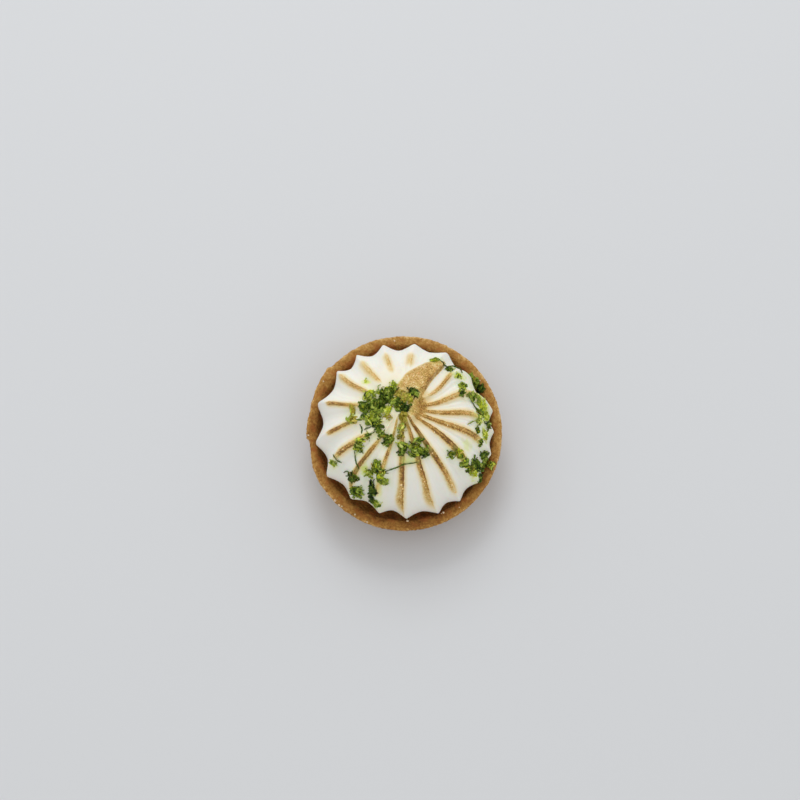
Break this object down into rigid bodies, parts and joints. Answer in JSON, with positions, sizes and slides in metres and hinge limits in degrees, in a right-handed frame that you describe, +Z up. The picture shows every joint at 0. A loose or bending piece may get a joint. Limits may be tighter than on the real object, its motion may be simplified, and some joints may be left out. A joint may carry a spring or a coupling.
{
  "type": "lemon mint tartlet",
  "caption": "Small round baked pastry tartlet with a torched piped meringue dome and shredded mint and lime zest on top.",
  "frame": {"origin": "middle of the flat underside of the pastry case", "axes": "+Z up from the underside; +X to the right and +Y away, as the tartlet is looked down on in the picture"},
  "size_m": [0.0804, 0.0824, 0.0508],
  "materials": {
    "baked_pastry": "matte golden-brown baked biscuit pastry with a fine grain",
    "meringue_white": "satin white meringue with torched golden ridges"
  },
  "bodies": {
    "root": {"pastry_case": "baked_pastry", "meringue": "meringue_white"}
  },
  "joints": []
}
